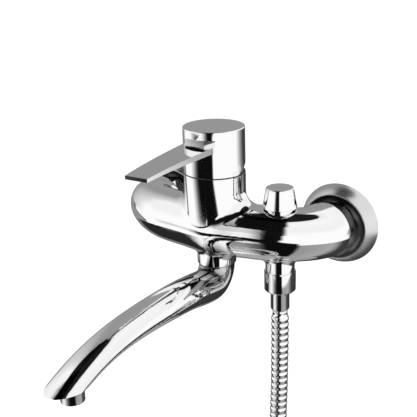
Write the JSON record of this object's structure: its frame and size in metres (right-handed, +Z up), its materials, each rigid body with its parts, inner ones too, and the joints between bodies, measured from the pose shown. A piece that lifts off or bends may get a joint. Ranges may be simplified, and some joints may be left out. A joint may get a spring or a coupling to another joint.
{
  "type": "bath mixer",
  "caption": "Wall-mounted bath mixer: curved round body, lever cartridge on a tower, swivelling spout, pull-up diverter and a metal shower hose tied in a coil.",
  "frame": {"origin": "in the wall plane, midway between the axes of the two wall threads", "axes": "+Y goes into the wall, so the room and the spout are on -Y; +X is to the right for someone who faces the wall; +Z is up"},
  "size_m": [0.218, 0.3115, 0.3583],
  "materials": {
    "chrome_plate": "mirror polished",
    "chrome_sheet": "mirror polished sheet",
    "hose_metal": "polished wound strip",
    "brass": "turned, unplated",
    "steel": "plain stainless",
    "ceramic": "lapped ceramic",
    "white_acetal": "moulded",
    "grey_plug": "moulded",
    "black_rubber": "matt",
    "fibre_washer": "pressed fibre",
    "black_strap": "soft"
  },
  "bodies": {
    "mixer_body": {"body_casting": "chrome_plate", "union_left": "chrome_plate", "union_right": "chrome_plate", "union_nut_left": "chrome_plate", "union_nut_right": "chrome_plate", "inlet_washer_left": "fibre_washer", "inlet_washer_right": "fibre_washer", "rosette_left": "chrome_sheet", "rosette_right": "chrome_sheet", "cartridge_seals": "black_rubber", "cartridge_base": "white_acetal", "fixed_ceramic_disc": "ceramic", "cartridge_housing": "white_acetal", "cartridge_nut": "brass", "cover_dome": "chrome_sheet", "slide_ring": "white_acetal", "spout_slip_ring": "white_acetal", "spout_retaining_screw": "steel", "diverter_bonnet": "chrome_plate", "diverter_spring": "steel", "shower_outlet_nipple": "chrome_plate", "check_valve": "white_acetal", "hose_washer": "black_rubber", "hose_tail": "brass", "hose_sleeve": "chrome_sheet", "hose_nut": "chrome_plate", "hose_drop": "hose_metal", "hose_coil": "hose_metal", "end_sleeve": "chrome_sheet", "end_tail": "brass", "end_washer": "black_rubber", "end_cone_nut": "chrome_plate", "hose_tie": "black_strap"},
    "lever_swivel_body": {"swivel_guide": "white_acetal", "spindle_pin": "steel"},
    "lever_body": {"lever_spindle": "brass", "lever_cap": "chrome_plate", "lever_blade": "chrome_plate", "blade_screw": "steel", "lever_grub_screw": "steel", "indicator_plug": "grey_plug"},
    "ceramic_slide_body": {"moving_ceramic_disc": "ceramic", "disc_carrier": "white_acetal"},
    "spout_body": {"spout": "chrome_plate", "spout_o_rings": "black_rubber", "aerator_shell": "chrome_plate", "aerator_insert": "grey_plug", "aerator_washer": "black_rubber"},
    "diverter_body": {"diverter_stem": "brass", "diverter_seal": "black_rubber", "diverter_knob": "chrome_plate"}
  },
  "joints": [
    {"name": "lever_swivel", "type": "hinge", "parent": "mixer_body", "child": "lever_swivel_body", "pos_m": [0, -0.06, 0.04], "axis": [0, 0, 1], "range_deg": [-45, 45]},
    {"name": "lever_tilt", "type": "hinge", "parent": "lever_swivel_body", "child": "lever_body", "pos_m": [0, -0.06, 0.04], "axis": [-1, 0, 0], "range_deg": [0, 25]},
    {"name": "disc_slide", "type": "slide", "parent": "lever_swivel_body", "child": "ceramic_slide_body", "axis": [0, -1, 0], "range_m": [0, 0.0046]},
    {"name": "spout_swivel", "type": "hinge", "parent": "mixer_body", "child": "spout_body", "pos_m": [0, -0.06, -0.02], "axis": [0, 0, 1], "range_deg": [-55, 55]},
    {"name": "diverter_pull", "type": "slide", "parent": "mixer_body", "child": "diverter_body", "axis": [0, 0, 1], "range_m": [0, 0.009], "stiffness_N_per_m": 60, "springref_m": -0.02, "deforming": ["diverter_spring"]}
  ],
  "couplings": [
    {"joint": "disc_slide", "follows": "lever_tilt", "m_per_rad": 0.01017}
  ]
}
